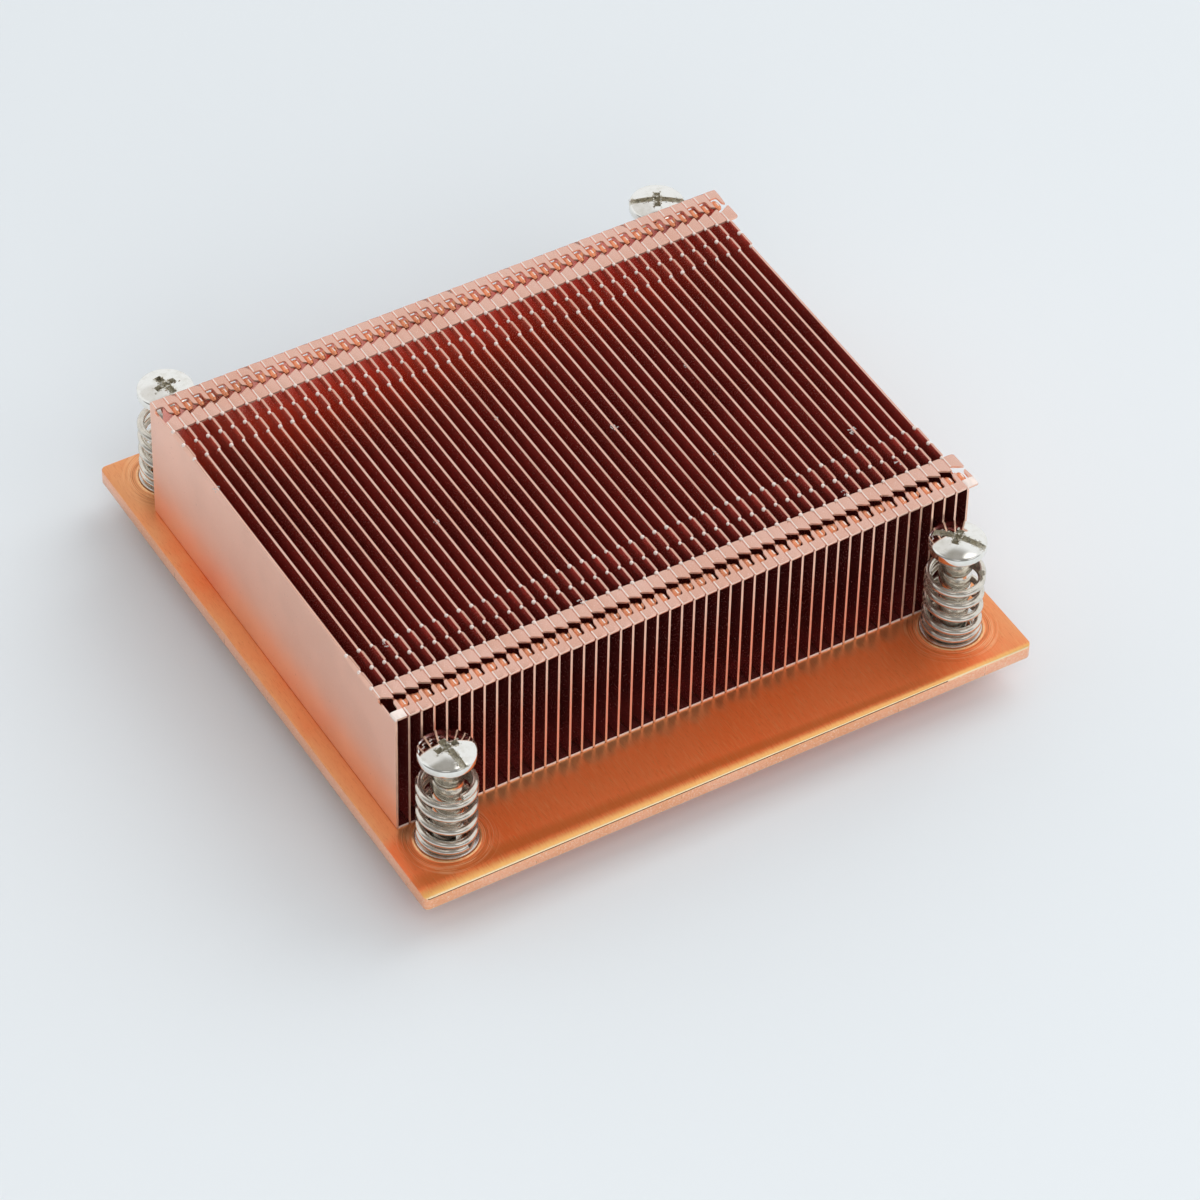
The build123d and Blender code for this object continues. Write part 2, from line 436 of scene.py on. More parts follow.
def sheared_copper(settings):
    """The plate's cut sides, with fine upright tool marks and a few nicks."""
    graph = Finish("sheared copper side", 0.6)
    clouds = graph.noise(120.0, 3.0)
    marks = graph.streaks((2600.0, 2600.0, 300.0))
    nicks = graph.noise(900.0, 2.0, 0.7).between(0.70, 0.78)
    grain = graph.noise(4200.0, 2.0, 0.6)
    tone = graph.mix(clouds.between(0.35, 0.7) * 0.6, settings.side, settings.copper)
    tone = graph.mix(grain.between(0.5, 0.68) * 0.35, tone, (0.80, 0.30, 0.16))
    tone = graph.mix(grain.between(0.30, 0.46), (1.0, 0.68, 0.50), tone)
    tone = graph.mix(nicks * 0.6, tone, settings.stain)
    normal = graph.bump(marks * 0.5 + nicks * 0.5, 0.35, 0.00005)
    return graph.finish(tone, 0.24 + marks * 0.12 + nicks * 0.1, normal)


def polished_nickel(settings):
    """Polished nickel plating with hairline scratches."""
    graph = Finish("polished nickel")
    haze = graph.noise(900.0, 2.0)
    scratch = graph.streaks((9000.0, 1100.0, 4000.0), turn=(0.3, 0.2, 0.7))
    tone = graph.mix(haze.between(0.4, 0.8) * 0.4, settings.nickel, (0.70, 0.66, 0.56))
    roughness = 0.06 + haze * 0.05 + scratch.between(0.62, 0.72) * 0.12
    normal = graph.bump(haze * 0.7 + scratch * 0.3, 0.04, 0.00004)
    return graph.finish(tone, roughness, normal)


def neck_nickel_painted_bright(settings):
    """The plated neck, with faint turning rings, painted near-white with almost no metal sheen as a painted bright
    reflection.
    """
    graph = Finish("bright painted neck nickel", 0.05)
    rings = graph.streaks((300.0, 300.0, 5200.0))
    haze = graph.noise(700.0, 2.0)
    # Painted bright reflection: near-white, with almost no metal sheen.
    tone = graph.mix(rings.between(0.45, 0.75) * 0.3, (0.98, 0.99, 1.0), settings.nickel)
    tone = graph.mix(haze.between(0.5, 0.75) * 0.1, tone, (0.75, 0.75, 0.76))
    return graph.finish(tone, 0.12 + haze * 0.1, graph.bump(rings, 0.08, 0.00003))


def recess_metal(settings):
    """Dull metal inside the recess, with small burr-like lumps whose bright patches are painted highlights."""
    graph = Finish("recess metal", 0.8)
    lumps_and_glints = graph.noise(2800.0, 3.0, 0.7, bend=0.4)
    pits = graph.noise(1900.0, 2.0, 0.6)
    # The bright patches on the lumps are painted highlights.
    tone = graph.mix(lumps_and_glints.between(0.46, 0.60), settings.bare, (0.95, 0.92, 0.82))
    tone = graph.mix(pits.between(0.54, 0.62) * 0.6, tone, shaded(settings.bare, 0.3))
    normal = graph.bump(lumps_and_glints, 1.0, 0.0003)
    return graph.finish(tone, 0.22 + lumps_and_glints * 0.2, normal)


def drawn_steel(name, tone, dark, gloss, pattern, metallic=1.0):
    """Drawn or rolled steel with fine marks."""
    graph = Finish(name, metallic)
    marks = graph.streaks(pattern)
    haze = graph.noise(1100.0, 2.0)
    mixed = graph.mix(haze.between(0.35, 0.75), tone, dark)
    mixed = graph.mix(marks.between(0.6, 0.75) * 0.3, mixed, (0.85, 0.84, 0.80))
    normal = graph.bump(marks * 0.6 + haze * 0.4, 0.05, 0.00003)
    return graph.finish(mixed, gloss + marks * 0.06 + haze * 0.04, normal)


def dust_lint():
    """Pale dust caught on the fins."""
    graph = Finish("pale dust", 0.0)
    fluff = graph.noise(5000.0, 3.0, 0.7)
    tone = graph.mix(fluff.between(0.4, 0.6), (0.50, 0.44, 0.41), (0.74, 0.70, 0.67))
    return graph.finish(tone, 0.7 + fluff * 0.2, graph.bump(fluff, 0.8, 0.0001))


def table_paper(settings):
    """A pale seamless table with a barely visible tooth."""
    graph = Finish("pale table", 0.0)
    clouds = graph.noise(5.0, 2.0)
    tooth = graph.noise(900.0, 3.0, 0.6)
    flecks = graph.noise(260.0, 2.0, 0.7).between(0.80, 0.83)
    tone = graph.mix(clouds, settings.floor, shaded(settings.floor, 1.03))
    tone = graph.mix(flecks * 0.10, tone, (0.55, 0.56, 0.58))
    graph.shader.inputs["Specular IOR Level"].default_value = 0.2
    return graph.finish(tone, 0.55 + tooth * 0.2, graph.bump(tooth, 0.04, 0.0001))


# ---------------------------------------------------------------- meshes


def move(made, offset):
    bmesh.ops.translate(made, vec=offset, verts=made.verts)


def resize(made, factors, verts=None):
    bmesh.ops.scale(made, vec=factors, verts=verts or made.verts)


def turn_by(made, radians, axis="Z"):
    bmesh.ops.rotate(made, verts=made.verts, cent=(0, 0, 0), matrix=Matrix.Rotation(radians, 3, axis))


def face_out(made):
    bmesh.ops.recalc_face_normals(made, faces=made.faces)


def paint(made, material):
    for face in made.faces:
        face.material_index = material


def mesh_of(made, name, materials=()):
    """The finished shape as a mesh. The shape is freed."""
    mesh = bpy.data.meshes.new(name)
    made.to_mesh(mesh)
    made.free()
    for material in materials:
        mesh.materials.append(material)
    return mesh


def placed(name, data):
    """A new object in the scene."""
    made = bpy.data.objects.new(name, data)
    bpy.context.scene.collection.objects.link(made)
    return made


def turned(profile, steps):
    """A closed shape turned on the upright axis from points of (radius, height)."""
    made = bmesh.new()
    points = [made.verts.new((radius, 0.0, height)) for radius, height in profile]
    edges = [made.edges.new(pair) for pair in zip(points, points[1:])]
    bmesh.ops.spin(
        made, geom=points + edges, cent=(0, 0, 0), axis=(0, 0, 1), angle=2 * math.pi, steps=steps, use_merge=True
    )
    bmesh.ops.remove_doubles(made, verts=made.verts, dist=1e-4)
    face_out(made)
    return made


def wind(geometry, made, turns, steps, drop):
    """Leads a section down round the upright axis and gives the geometry at its far end."""
    return bmesh.ops.spin(
        made, geom=geometry, cent=(0, 0, 0), axis=(0, 0, 1), dvec=(0, 0, -drop / steps),
        angle=2 * math.pi * turns, steps=steps, use_merge=False,
    )["geom_last"]


def block(low, high):
    """A cuboid between two corners."""
    made = bmesh.new()
    low, high = Vector(low), Vector(high)
    bmesh.ops.create_cube(made, size=1.0)
    resize(made, high - low)
    move(made, (low + high) / 2)
    return made


def round_edges(made, edges, width, segments=1, clamp=True):
    bmesh.ops.bevel(
        made, geom=edges, offset=width, offset_type="OFFSET", segments=segments, profile=0.5,
        affect="EDGES", material=-1, clamp_overlap=clamp,
    )


def of_kind(geometry, kind):
    return [part for part in geometry if isinstance(part, kind)]


def sharp_edges(made, least=1.0):
    """The edges between two faces that turn by more than this, in radians."""
    return [edge for edge in made.edges if len(edge.link_faces) == 2 and edge.calc_face_angle(0) > least]


def cut(made, point, normal):
    geometry = made.verts[:] + made.edges[:] + made.faces[:]
    bmesh.ops.bisect_plane(made, geom=geometry, dist=1e-5, plane_co=point, plane_no=normal)


def merge(target, source):
    """Adds one shape to another and frees it."""
    carrier = mesh_of(source, "carrier")
    target.from_mesh(carrier)
    bpy.data.meshes.remove(carrier)


def carved(solid, tool, materials):
    """The solid less the tool. The tool's faces keep the second material."""
    objects = [placed(name, mesh_of(shape, name, materials)) for name, shape in (("solid", solid), ("tool", tool))]
    modifier = objects[0].modifiers.new("carve", "BOOLEAN")
    modifier.operation = "DIFFERENCE"
    modifier.solver = "EXACT"
    modifier.use_self = True
    modifier.object = objects[1]
    bpy.context.view_layer.update()
    graph = bpy.context.evaluated_depsgraph_get()
    mesh = bpy.data.meshes.new_from_object(objects[0].evaluated_get(graph))
    made = bmesh.new()
    made.from_mesh(mesh)
    for used in objects:
        old = used.data
        bpy.data.objects.remove(used)
        bpy.data.meshes.remove(old)
    bpy.data.meshes.remove(mesh)
    return made


def finish_piece(made, name, materials, body, nodes, place=(0.0, 0.0, 0.0), crease=35.0):
    """Puts a finished shape in the scene, in metres, on its body and in its nodes' place."""
    move(made, place)
    resize(made, (MM, MM, MM))
    mesh = mesh_of(made, name, materials)
    mesh.shade_smooth()
    mesh.set_sharp_from_angle(angle=math.radians(crease))
    piece = placed(name, mesh)
    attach(piece, body)
    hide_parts(*nodes)
    return piece


# ---------------------------------------------------------------- fins

# Plan of one end's tabs: distance from the fin's outer face, then from the tab's inner edge.
INNER_PRONG = [
    (0.0, 0.0), (0.5, -0.08), (1.2, -0.08), (1.6, 0.0), (1.77, 0.1), (1.83, 0.3), (1.83, 2.4),
    (1.78, 2.55), (1.62, 2.56), (1.0, 2.24), (0.5, 1.93), (0.0, 1.75),
]
OUTER_PRONG_SIDE = [(0.0, 4.72), (0.9, 4.72), (1.12, 4.62), (1.21, 4.36), (1.23, 3.6), (1.34, 3.26), (1.6, 3.1)]
TONGUE = [
    (1.80, 3.02), (1.98, 2.88), (2.35, 2.82), (2.66, 2.9), (2.85, 3.12), (2.92, 3.5), (2.92, 4.05),
    (2.84, 4.4), (2.62, 4.62), (2.25, 4.68), (1.80, 4.62),
]
OUTER_PRONG_END = [(1.82, 4.76), (1.83, 4.9), (1.83, 5.98), (1.77, 6.12), (1.6, 6.18), (0.6, 6.22), (0.0, 6.2)]
WINDOW_SIDES = (1.75, 4.72)
TONGUE_STEPS = ((1.733, 0.0), (1.8, 0.1), (1.92, 0.36), (2.25, 0.95), (2.5, 0.7), (2.72, 0.8), (2.93, 1.3))
TONGUE_SIDES = (3.35, 4.1)
# Dust as found, as fin number, distance from the fins' front ends in mm and size in mm.
DUST = (
    (29, 32.0, 1.0), (44, 16.6, 1.3), (13, 27.9, 0.8), (18, 6.8, 1.1), (45, 8.3, 0.8), (40, 7.0, 0.8),
    (1, 47.1, 0.9), (4, 12.0, 0.9), (22, 41.0, 0.6), (34, 21.5, 0.7), (9, 20.0, 0.6), (37, 37.5, 0.6),
)
FLECKS = 9
FOLD_STEPS = 4
# Distances of the nubs from the inner edges of the front tabs, and then of the back ones.
FRONT_NUBS = (0.12, 3.3, 6.6)
BACK_NUBS = (6.0, 3.0, 0.12)
# The lip leans between two nubs that are closer than this, and each tab dented at its corner is dented this far in.
LIP_SPAN = 5.0
DENT_REACH = 1.7


class FinSheet:
    """One fin, cut flat as it stands upright, then folded, thickened and broken at its edges."""

    def __init__(self, settings, number):
        self.number = number
        self.chance = random.Random(number)
        self.last = number == FIN_COUNT
        self.sheet = settings.sheet / MM
        self.radius = settings.fold_radius / MM
        self.edge_break = settings.edge_break / MM
        self.tab_width = settings.tab_width / MM
        self.end_round = settings.end_round / MM
        self.dip = settings.tongue_dip / MM
        self.lean = settings.lip_lean / MM
        self.lip_depth = settings.lip_depth / MM
        self.nub = settings.nub_radius / MM
        self.window_depth = settings.window_depth / MM
        self.chord = 2 * self.radius * math.sin(math.pi / (4 * FOLD_STEPS))
        self.top_fold = FIN_HEIGHT - self.radius
        self.foot_fold = self.radius
        self.nubs = [self.tab_width + gap for gap in FRONT_NUBS]
        self.nubs += [FIN_LENGTH - self.tab_width - gap for gap in BACK_NUBS]
        self.made = bmesh.new()

    def developed(self, reach):
        """Height on the flat sheet of a point that ends up this far from the fin's outer face."""
        arc = FOLD_STEPS * self.chord
        return self.top_fold + (reach / self.radius * arc if reach < self.radius else arc + reach - self.radius)

    def flat_face(self, points):
        self.made.faces.new([self.made.verts.new((0.0, along, up)) for along, up in points])

    def lay_out(self):
        """Draws the flat sheet: the web with its foot, the straight lip, and the prongs and tongues at both ends."""
        foot_end = self.foot_fold - FOLD_STEPS * self.chord - (FIN_PITCH - LAP_GAP - self.radius)
        back = FIN_LENGTH
        for start, stop, low, high in (
            (0.0, back, foot_end, self.top_fold),
            (self.tab_width, back - self.tab_width, self.top_fold, FIN_HEIGHT),
        ):
            self.flat_face([(start, low), (stop, low), (stop, high), (start, high)])
        tongue = [] if self.last else TONGUE
        worn = [self.chance.uniform(-0.05, 0.05) for _ in range(3)]
        inner_prong = [(reach, side + (worn[0] if 0.2 < reach else 0.0)) for reach, side in INNER_PRONG]
        outer_prong = OUTER_PRONG_SIDE + tongue + OUTER_PRONG_END
        outer_prong = [(reach + (worn[1] if reach > 1.8 else 0.0), side) for reach, side in outer_prong]
        for outline in (inner_prong, outer_prong):
            self.flat_face([(self.tab_width - side, self.developed(reach)) for reach, side in outline])
            self.flat_face([(back - self.tab_width + side, self.developed(reach)) for reach, side in outline])

    def split(self):
        """Cuts the sheet where it bends."""
        for step in range(FOLD_STEPS + 1):
            cut(self.made, (0, 0, self.top_fold + step * self.chord), (0, 0, 1))
            cut(self.made, (0, 0, self.foot_fold - step * self.chord), (0, 0, 1))
        cut(self.made, (0, 0, self.top_fold - self.window_depth), (0, 0, 1))
        for reach, _ in TONGUE_STEPS[1:-1]:
            cut(self.made, (0, 0, self.developed(reach)), (0, 0, 1))
        for depth in (1.0, 0.62, 0.3):
            cut(self.made, (0, 0, FIN_HEIGHT - self.lip_depth * depth), (0, 0, 1))
        for end in (self.nubs[:len(FRONT_NUBS)], self.nubs[len(FRONT_NUBS):]):
            for start, stop in zip(end, end[1:]):
                for part in (0.0, 0.05, 0.12, 0.5, 0.88, 0.95, 1.0):
                    cut(self.made, (0, start + (stop - start) * part, 0), (0, 1, 0))
        for side in (0.0, *WINDOW_SIDES, *TONGUE_SIDES):
            for along in (self.tab_width - side, FIN_LENGTH - self.tab_width + side):
                cut(self.made, (0, along, 0), (0, 1, 0))
        window = [face for face in self.made.faces if self.in_window(face.calc_center_median())]
        bmesh.ops.delete(self.made, geom=window, context="FACES")

    def in_window(self, spot):
        side = self.tab_width - min(spot.y, FIN_LENGTH - spot.y)
        across = WINDOW_SIDES[0] < side < WINDOW_SIDES[1]
        return across and self.top_fold - self.window_depth < spot.z < self.top_fold

    def weld(self):
        """Joins the tabs to the web along the fold, and leaves the slits beside the straight lip open."""
        near = [vert for vert in self.made.verts if abs(vert.co.z - self.top_fold) < 1e-4]
        bmesh.ops.remove_doubles(self.made, verts=near, dist=1e-4)
        face_out(self.made)
        if max(self.made.faces, key=lambda face: face.calc_area()).normal.x > 0:
            bmesh.ops.reverse_faces(self.made, faces=self.made.faces)

    def is_lip(self, vert):
        """Whether a point lies on the straight top edge between the tabs."""
        low, high = self.tab_width, FIN_LENGTH - self.tab_width
        inside = all(low - 1e-4 < point.co.y < high + 1e-4 for face in vert.link_faces for point in face.verts)
        return inside and vert.co.z > FIN_HEIGHT - self.lip_depth - 1e-4 and vert.co.z < FIN_HEIGHT + 1e-4

    def lean_lips(self):
        """Leans the straight top edge outwards between the nubs."""
        for vert in [vert for vert in self.made.verts if self.is_lip(vert)]:
            for start, stop in zip(self.nubs, self.nubs[1:]):
                if start < vert.co.y < stop and stop - start < LIP_SPAN:
                    part = (vert.co.y - start) / (stop - start)
                    swell = min(1.0, part / 0.12, (1 - part) / 0.12)
                    height = max(0.0, 1 - (FIN_HEIGHT - vert.co.z) / self.lip_depth)
                    vert.co.x += self.lean * swell * height ** 1.4

    def fold(self):
        """Folds the tabs over along the top and the foot along the bottom."""
        height = {vert: vert.co.z for vert in self.made.verts}
        lips = {vert for vert in self.made.verts if height[vert] > self.top_fold + 1e-4 and self.is_lip(vert)}
        for start, turn, pick in (
            (self.top_fold, 1, lambda vert, line: height[vert] > line + 1e-4 and vert not in lips),
            (self.foot_fold, -1, lambda vert, line: height[vert] < line - 1e-4),
        ):
            for step in range(FOLD_STEPS + 1):
                bent = math.radians(90) * step / FOLD_STEPS
                bend = math.radians(90) / FOLD_STEPS * (0.5 if step in (0, FOLD_STEPS) else 1.0)
                hinge = (self.radius * (1 - math.cos(bent)), 0, start + turn * self.radius * math.sin(bent))
                line = start + turn * step * self.chord
                moving = [vert for vert in self.made.verts if pick(vert, line)]
                bmesh.ops.rotate(self.made, verts=moving, cent=hinge, matrix=Matrix.Rotation(turn * bend, 3, "Y"))

    def press_tongues(self):
        """Sinks each tongue into the next fin's window, with its sides turned down."""
        for vert in self.made.verts:
            if vert.co.z < FIN_HEIGHT - 0.1:
                continue
            side = self.tab_width - min(vert.co.y, FIN_LENGTH - vert.co.y)
            for (start, high), (stop, low) in zip(TONGUE_STEPS, TONGUE_STEPS[1:]):
                if start < vert.co.x <= stop:
                    sunk = high + (low - high) * (vert.co.x - start) / (stop - start)
                    raised = TONGUE_SIDES[0] - 1e-3 < side < TONGUE_SIDES[1] + 1e-3
                    vert.co.z -= self.dip * (sunk + (0.35 if vert.co.x > 2.0 and not raised else 0.0))
                    break

    def thicken(self):
        bmesh.ops.solidify(self.made, geom=self.made.faces[:], thickness=self.sheet)
        self.round_ends()
        round_edges(self.made, sharp_edges(self.made), self.edge_break)

    def round_ends(self):
        """Rolls over the upper edges at the ends of the feet and of the outer prongs."""
        ends = []
        for edge in self.made.edges:
            first, second = (vert.co for vert in edge.verts)
            across = min(first.x, second.x) > self.radius - 1e-3 and abs(first.x - second.x) > 0.05
            end = max(min(spot.y, FIN_LENGTH - spot.y) for spot in (first, second)) < 0.09
            level = [min(abs(spot.z - self.sheet), abs(spot.z - FIN_HEIGHT)) < 1e-3 for spot in (first, second)]
            if across and end and all(level) and edge.calc_face_angle(0) > 1.0:
                ends.append(edge)
        round_edges(self.made, ends, self.end_round, 2)

    def add_nubs(self):
        for along in self.nubs:
            nub = bmesh.new()
            bmesh.ops.create_icosphere(nub, subdivisions=2, radius=self.nub * self.chance.uniform(0.85, 1.15))
            move(nub, (self.sheet / 2, along, FIN_HEIGHT - self.nub * 0.4))
            # The nubs carry the painted highlight.
            paint(nub, PAINTED_HIGHLIGHT)
            merge(self.made, nub)

    def add_dust(self):
        """Small flattened flecks of lint resting on the top edge."""
        for number, along, size in DUST:
            if number != self.number:
                continue
            for _ in range(FLECKS):
                fleck = bmesh.new()
                bmesh.ops.create_icosphere(fleck, subdivisions=1, radius=size * 0.14)
                resize(fleck, (self.chance.uniform(0.7, 2.2), 0.5, 0.4))
                turn_by(fleck, self.chance.uniform(0, math.pi))
                drift = [self.chance.uniform(-0.5, 0.5) * size for _ in range(2)]
                move(fleck, (self.sheet / 2 + drift[0], along + drift[1], FIN_HEIGHT - abs(drift[0]) * 0.4))
                paint(fleck, DUSTY)
                merge(self.made, fleck)

    def batter(self):
        """The first and the last fin's front prongs are dented at their corners."""
        if self.number not in (1, FIN_COUNT):
            return
        worn = [vert for vert in self.made.verts if vert.co.y < DENT_REACH and vert.co.z > FIN_HEIGHT - 0.5]
        for vert in worn:
            near = 1 - vert.co.y / DENT_REACH
            vert.co.z -= near * self.chance.uniform(0.0, 0.22)
            vert.co.y += near * self.chance.uniform(0.0, 0.12)

    def mark_faces(self):
        """Gives each face of the sheet its material, where it isn't that of the tabs' tops."""
        for face in self.made.faces:
            normal, centre = face.normal, face.calc_center_median()
            side = self.tab_width - min(centre.y, FIN_LENGTH - centre.y)
            top = centre.z > FIN_HEIGHT - self.sheet - 0.05
            # Tongues: a painted highlight in the middle and a painted reflection on the bent sides.
            if centre.z > FIN_HEIGHT - 1 and centre.x > TONGUE_STEPS[1][0]:
                flat = TONGUE_SIDES[0] < side < TONGUE_SIDES[1] and 2.5 < centre.x < 2.75 and normal.z > 0
                face.material_index = PAINTED_HIGHLIGHT if flat else TONGUE_REFLECTION
            # The rolled-over ends of the outer prongs: painted highlight.
            elif top and centre.x > self.radius + 0.03 and abs(normal.z) < 0.9:
                face.material_index = PAINTED_HIGHLIGHT if side > self.tab_width - 0.2 and normal.z > 0.2 else CUT_EDGE
            # The fold's last step under the tab: a painted highlight line.
            elif top and centre.x < self.radius and 0.9 < normal.z < 0.99:
                face.material_index = PAINTED_HIGHLIGHT
            # The feet's front edges: painted highlight.
            elif centre.z < self.sheet + 0.02 and centre.x > self.radius and abs(normal.y) > 0.2:
                face.material_index = PAINTED_HIGHLIGHT
            # The dented front corners of the first and last fins: painted highlight.
            elif top and self.number in (1, FIN_COUNT) and centre.y < 1.0:
                face.material_index = PAINTED_HIGHLIGHT
            # The faces between the fins get the painted shade of the web material; the two outer faces do not.
            elif abs(normal.x) > 0.75:
                outer = (normal.x < 0 and self.number == 1) or (normal.x > 0 and self.last)
                face.material_index = OUTER if outer else WEB
            elif abs(normal.y) > 0.5:
                face.material_index = CUT_EDGE
            # The feet's tops between the fins get the web's painted shade too.
            elif centre.z < 0.6:
                face.material_index = WEB

    def build(self):
        self.lay_out()
        self.split()
        self.weld()
        self.fold()
        self.lean_lips()
        self.press_tongues()
        self.batter()
        self.thicken()
        self.mark_faces()
        self.add_nubs()
        self.add_dust()
        face_out(self.made)
        move(self.made, (first_low.x + (self.number - 1) * FIN_PITCH, first_low.y, first_low.z))
        return self.made


class HEATSINK_OT_fins(Operator):
    """Builds the folded fins with their interlocked tabs"""

    bl_idname = "heatsink.fins"
    bl_label = "Folded Fins"

    def execute(self, context):
        settings = context.scene.heatsink_fins
        web, edge, side = settings.web, settings.edge, settings.side
        pressed, highlight_tone = settings.pressed, settings.highlight_tone
        materials = [
            rolled_copper("rolled copper sheet", settings.copper, settings.stain, 0.13, 0.4),
            # The web material: painted shade between the fins, with a painted glow towards the back.
            rolled_copper("shaded copper web", web, shaded(web, 0.8), 0.2, 0.2, 0.75, settings.glow),
            rolled_copper("cut copper edge", edge, shaded(edge, 0.9), 0.15, 0.3, 0.6),
            rolled_copper("outer copper face", side, shaded(side, 0.93), 0.28, 0.25, 0.75),
            # Painted reflection on the tongues' bent sides.
            rolled_copper("tongue reflection copper", pressed, shaded(pressed, 0.8), 0.2, 0.3, 0.65),
            # Painted highlights on the fins.
            painted_edge_tone("copper rim highlight", highlight_tone, shaded(highlight_tone, 0.88), 0.35),
            dust_lint(),
        ]
        for node in FIN_NODES:
            made = bmesh.new()
            for number in fin_numbers(node):
                merge(made, FinSheet(settings, number).build())
            finish_piece(made, "folded_" + node, materials, "heatsink", [node], crease=40.0)
        return {"FINISHED"}


# ---------------------------------------------------------------- base plate


def screw_places():
    places = {}
    for corner in CORNERS:
        low, high = box_mm("screw_" + corner)
        places[corner] = ((low.x + high.x) / 2, (low.y + high.y) / 2)
    return places


def ring_outward(made, edges, centre, radius, height):
    """Extrudes a closed ring of edges to another radius and height."""
    grown = bmesh.ops.extrude_edge_only(made, edges=edges)["geom"]
    for vert in of_kind(grown, bmesh.types.BMVert):
        flat = Vector((vert.co.x - centre[0], vert.co.y - centre[1])).normalized() * radius
        vert.co = (centre[0] + flat.x, centre[1] + flat.y, height)
    return of_kind(grown, bmesh.types.BMEdge)


class HEATSINK_OT_base_plate(Operator):
    """Builds the copper base plate with its pedestal and the lips round the washers"""

    bl_idname = "heatsink.base_plate"
    bl_label = "Base Plate"

    def execute(self, context):
        settings = context.scene.heatsink_plate
        places = list(screw_places().values())
        made = self.top_face(settings, places)
        for x, y in places:
            self.seat(made, settings, x, y)
        outer = [edge for edge in made.edges if edge.is_boundary and edge.verts[0].co.z > PLATE_TOP - 1]
        for vert in of_kind(bmesh.ops.extrude_edge_only(made, edges=outer)["geom"], bmesh.types.BMVert):
            vert.co.z = PLATE_UNDER
        rims = [edge for edge in made.edges if edge.is_boundary]
        bmesh.ops.triangle_fill(made, use_beauty=True, use_dissolve=False, edges=rims)
        face_out(made)
        rim = [
            edge for edge in sharp_edges(made, 0.7)
            if max(abs(edge.verts[0].co.x), abs(edge.verts[0].co.y - (plate_low.y + plate_high.y) / 2)) > RIM_FROM
        ]
        round_edges(made, rim, settings.edge_round / MM, 2, False)
        self.mark_faces(made, settings, places)
        merge(made, self.pedestal())
        materials = [
            brushed_copper(settings), sheared_copper(settings),
            # Painted highlight along the crest of each seat lip.
            painted_edge_tone("seat lip highlight", (1.0, 0.58, 0.28), settings.copper, 0.7),
            # Painted shade line under the front roll.
            painted_edge_tone("painted shade line", settings.shade_line, shaded(settings.shade_line, 0.6), 0.85),
        ]
        finish_piece(made, "copper_base", materials, "heatsink", ["base_plate"], crease=30.0)
        return {"FINISHED"}

    def top_face(self, settings, places):
        """The plate's top, with its front roll and a square patch for each screw's seat."""
        made = bmesh.new()
        bmesh.ops.create_grid(made, x_segments=1, y_segments=1, size=0.5)
        size = plate_high - plate_low
        resize(made, (size.x, size.y, 1))
        middle = (plate_low + plate_high) / 2
        move(made, (middle.x, middle.y, PLATE_TOP))
        bmesh.ops.bevel(
            made, geom=made.verts[:], offset=settings.corner_round / MM, offset_type="OFFSET", segments=6,
            profile=0.5, affect="VERTICES", material=-1, clamp_overlap=True,
        )
        for x, y in places:
            for side in (-SEAT_HALF, SEAT_HALF):
                cut(made, (x + side, 0, 0), (1, 0, 0))
            for side in (-SEAT_HALF, SEAT_HALF):
                cut(made, (0, y + side, 0), (0, 1, 0))
        width, depth = settings.roll_width / MM, settings.roll_depth / MM
        for part in (0.3, 0.48, 0.7, 1.0):
            narrowing = width * part * (1 - settings.roll_end)
            cut(made, (plate_low.x, plate_low.y + width * part, 0), Vector((narrowing, size.x, 0)).normalized())
        for vert in made.verts:
            near = 1 - (vert.co.y - plate_low.y) / (width * self.roll_share(settings, vert.co.x))
            vert.co.z -= depth * max(near, 0) ** 2.2
        return made

    def seat(self, made, settings, x, y):
        """The lip round one washer and the hole inside it, in place of the square patch."""
        lip, lip_height = settings.lip_radius / MM, settings.lip_height / MM
        centre = Vector((x, y, PLATE_TOP))
        patch = min(made.faces, key=lambda face: (face.calc_center_median() - centre).length)
        square = patch.edges[:]
        bmesh.ops.delete(made, geom=[patch], context="FACES_ONLY")
        bmesh.ops.subdivide_edges(made, edges=square, cuts=11)
        around = [
            edge for edge in made.edges
            if edge.is_boundary
            and all(max(abs(vert.co.x - x), abs(vert.co.y - y)) < SEAT_HALF + 1e-3 for vert in edge.verts)
        ]
        for offset, rise in ((0.30, 0.0), (0.17, 0.3), (0.07, 0.85), (0.0, 1.0), (-0.06, 0.8), (-0.11, 0.0)):
            around = ring_outward(made, around, (x, y), lip + offset, PLATE_TOP + lip_height * rise)
        for radius, height in (
            (PLATE_HOLE + 0.15, PLATE_TOP), (PLATE_HOLE, PLATE_TOP - 0.15), (PLATE_HOLE, PLATE_UNDER + 0.15),
            (PLATE_HOLE + 0.15, PLATE_UNDER), (lip + 0.55, PLATE_UNDER),
        ):
            around = ring_outward(made, around, (x, y), radius, height)

    def mark_faces(self, made, settings, places):
        """Gives each face its material, where it isn't that of the plate's top."""
        lip_middle = settings.lip_radius / MM + 0.05
        for face in made.faces:
            centre = face.calc_center_median()
            at_front = centre.y < plate_low.y + settings.edge_round / MM and centre.z > PLATE_UNDER + 1
            if abs(face.normal.z) < 0.2:
                face.material_index = SHEARED
            # The lower face of the front edge's round, left of the right end, gets the painted shade line.
            elif at_front and 0.2 < face.normal.z < 0.6 and centre.x < SHADE_LINE_END:
                face.material_index = SHADE_LINE
            # The faces along the crest of each seat lip get the painted highlight.
            elif any(abs(math.hypot(centre.x - x, centre.y - y) - lip_middle) < 0.16 for x, y in places):
                face.material_index = SEAT_LIP_HIGHLIGHT

